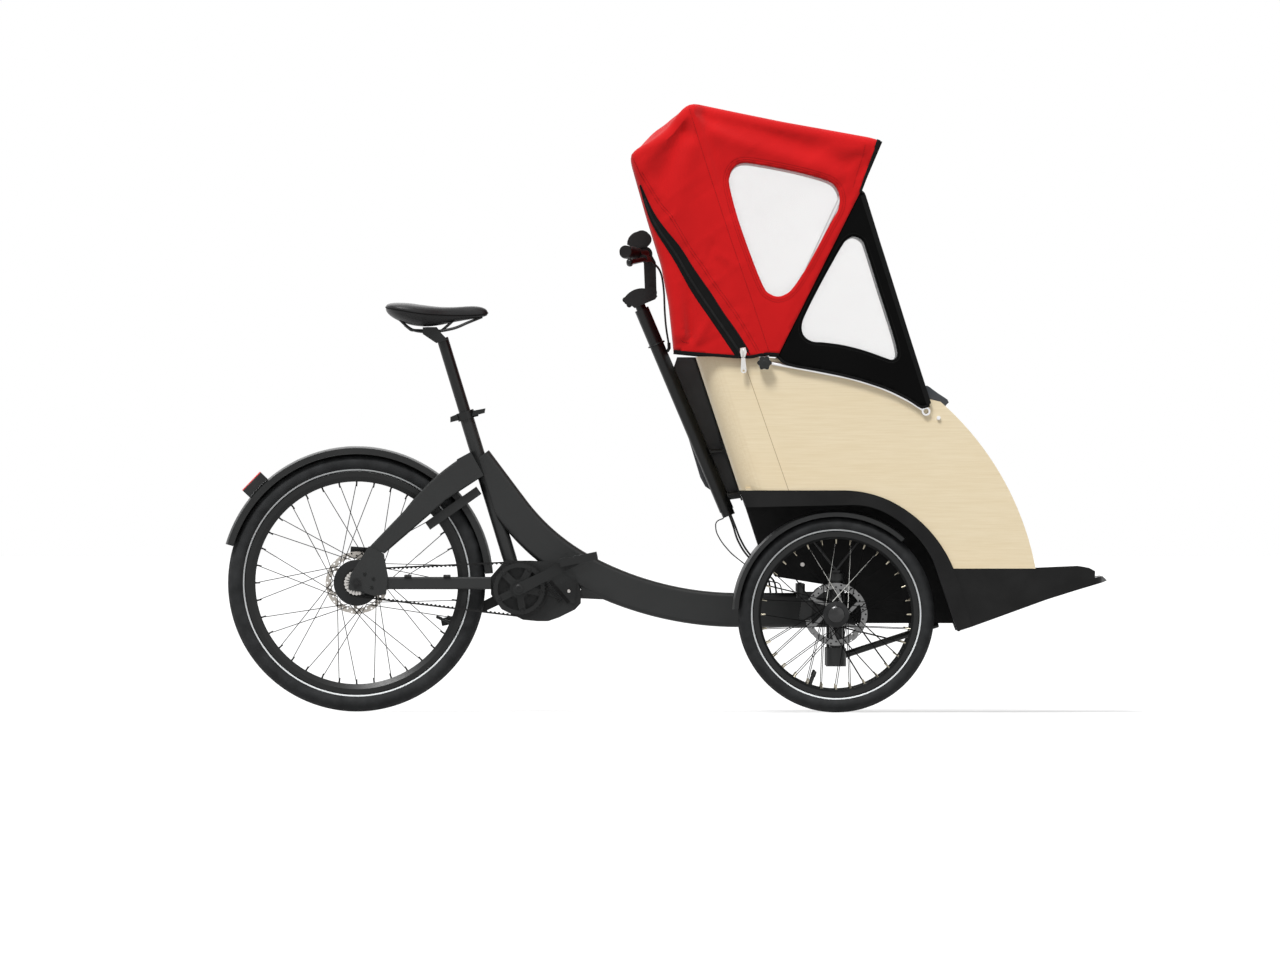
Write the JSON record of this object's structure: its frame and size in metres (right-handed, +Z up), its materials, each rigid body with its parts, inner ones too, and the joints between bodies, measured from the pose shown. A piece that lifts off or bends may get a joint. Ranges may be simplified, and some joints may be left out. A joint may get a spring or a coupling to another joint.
{
  "type": "electric passenger cargo tricycle",
  "caption": "Front-loading passenger tricycle: plywood cabin with a canvas hood between two steered front wheels, rider's seat over one belt-driven rear wheel.",
  "frame": {"origin": "on the ground under the middle of the vehicle's overall length and width", "axes": "+X forwards, +Y to the vehicle's left, +Z up"},
  "size_m": [2.2545, 0.922, 1.5519],
  "materials": {
    "frame_paint": "matte anthracite powder coat",
    "black_alloy": "satin black anodised",
    "motor_case": "matte black cast",
    "steel": "plain steel",
    "alloy": "satin",
    "rim_black": "satin black",
    "tyre_rubber": "matte with a white reflective stripe",
    "belt_rubber": "matte",
    "grip_rubber": "matte",
    "black_plastic": "matte",
    "tub_black": "fine-grained moulding",
    "battery_case": "matte",
    "lamp_red": "clear red lens",
    "birch_ply": "clear-lacquered birch plywood",
    "canvas_red": "red coated canvas",
    "canvas_black": "black coated canvas",
    "cushion_cloth": "black upholstery",
    "pad_grey": "dark grey felt",
    "saddle_cover": "smooth black cover",
    "clear_film": "clear flexible film"
  },
  "bodies": {
    "frame": {"main_beam": "frame_paint", "seat_tube": "frame_paint", "seat_post": "black_alloy", "saddle": "saddle_cover", "seat_stays": "frame_paint", "chain_stays": "frame_paint", "rear_axle": "steel", "drive_motor": "motor_case", "belt": "belt_rubber", "rear_mudguard": "black_plastic", "tail_light": "lamp_red", "ring_lock": "black_plastic", "rear_caliper": "black_alloy", "beam_front": "frame_paint", "axle_beam": "frame_paint", "floor_frame": "frame_paint", "steering_column": "black_alloy", "column_cables": "black_plastic", "cabin_rear": "birch_ply", "cabin_floor": "birch_ply", "seat_box": "tub_black", "bench": "birch_ply", "seat_cushion": "cushion_cloth", "back_cushion": "cushion_cloth", "armrest_pads": "pad_grey", "foot_scoop": "tub_black", "battery": "battery_case", "hood_cover": "canvas_red", "hood_wings": "canvas_black", "hood_bows": "alloy", "hood_rail": "alloy", "hood_knobs": "black_plastic", "hood_windows": "clear_film", "cabin_sides": "birch_ply", "wheel_wells": "tub_black"},
    "rear_wheel": {"rear_tyre": "tyre_rubber", "rear_rim": "rim_black", "rear_hub": "black_alloy", "rear_sprocket": "steel"},
    "crank_set": {"chainring": "black_alloy", "cranks": "black_alloy"},
    "steering_bar": {"stem": "black_alloy", "handlebar": "black_alloy", "grips": "grip_rubber", "brake_levers": "black_alloy", "bar_hoses": "black_plastic", "display": "black_plastic"},
    "tie_rod_link": {"tie_rod": "black_alloy"},
    "pedal_right_body": {"pedal_right": "black_alloy"},
    "steer_knuckle_right": {"knuckle_right": "black_alloy", "front_mudguard_right": "black_plastic"},
    "front_wheel_right": {"front_tyre_right": "tyre_rubber", "front_rim_right": "rim_black", "front_hub_right": "black_alloy"},
    "pedal_left_body": {"pedal_left": "black_alloy"},
    "steer_knuckle_left": {"knuckle_left": "black_alloy", "front_mudguard_left": "black_plastic"},
    "front_wheel_left": {"front_tyre_left": "tyre_rubber", "front_rim_left": "rim_black", "front_hub_left": "black_alloy"}
  },
  "joints": [
    {"name": "rear_wheel_spin", "type": "hinge", "parent": "frame", "child": "rear_wheel", "pos_m": [-0.791, 0, 0.3295], "axis": [0, 1, 0], "continuous": true},
    {"name": "crank_spin", "type": "hinge", "parent": "frame", "child": "crank_set", "pos_m": [-0.375, 0, 0.314], "axis": [0, 1, 0], "continuous": true},
    {"name": "pedal_right_spin", "type": "hinge", "parent": "crank_set", "child": "pedal_right_body", "pos_m": [-0.22286, -0.13, 0.38985], "axis": [0, 1, 0], "continuous": true},
    {"name": "pedal_left_spin", "type": "hinge", "parent": "crank_set", "child": "pedal_left_body", "pos_m": [-0.52714, 0.13, 0.23815], "axis": [0, 1, 0], "continuous": true},
    {"name": "steering", "type": "hinge", "parent": "frame", "child": "steering_bar", "pos_m": [-0.062, 0, 1.03], "axis": [-0.3898, 0, 0.9209], "range_deg": [-20, 20]},
    {"name": "knuckle_right_steer", "type": "hinge", "parent": "frame", "child": "steer_knuckle_right", "pos_m": [0.434, -0.325, 0.25], "axis": [0, 0, 1], "range_deg": [-30.1, 30.1]},
    {"name": "knuckle_left_steer", "type": "hinge", "parent": "frame", "child": "steer_knuckle_left", "pos_m": [0.434, 0.325, 0.25], "axis": [0, 0, 1], "range_deg": [-30.1, 30.1]},
    {"name": "front_wheel_right_spin", "type": "hinge", "parent": "steer_knuckle_right", "child": "front_wheel_right", "pos_m": [0.434, -0.39, 0.25], "axis": [0, 1, 0], "continuous": true},
    {"name": "front_wheel_left_spin", "type": "hinge", "parent": "steer_knuckle_left", "child": "front_wheel_left", "pos_m": [0.434, 0.39, 0.25], "axis": [0, 1, 0], "continuous": true},
    {"name": "tie_rod_pivot", "type": "hinge", "parent": "steer_knuckle_right", "child": "tie_rod_link", "pos_m": [0.344, -0.325, 0.318], "axis": [0, 0, 1], "range_deg": [-30.1, 30.1]}
  ],
  "couplings": [
    {"joint": "knuckle_right_steer", "follows": "steering", "ratio": 1.5},
    {"joint": "knuckle_left_steer", "follows": "steering", "ratio": 1.5},
    {"joint": "tie_rod_pivot", "follows": "steering", "ratio": -1.5}
  ]
}
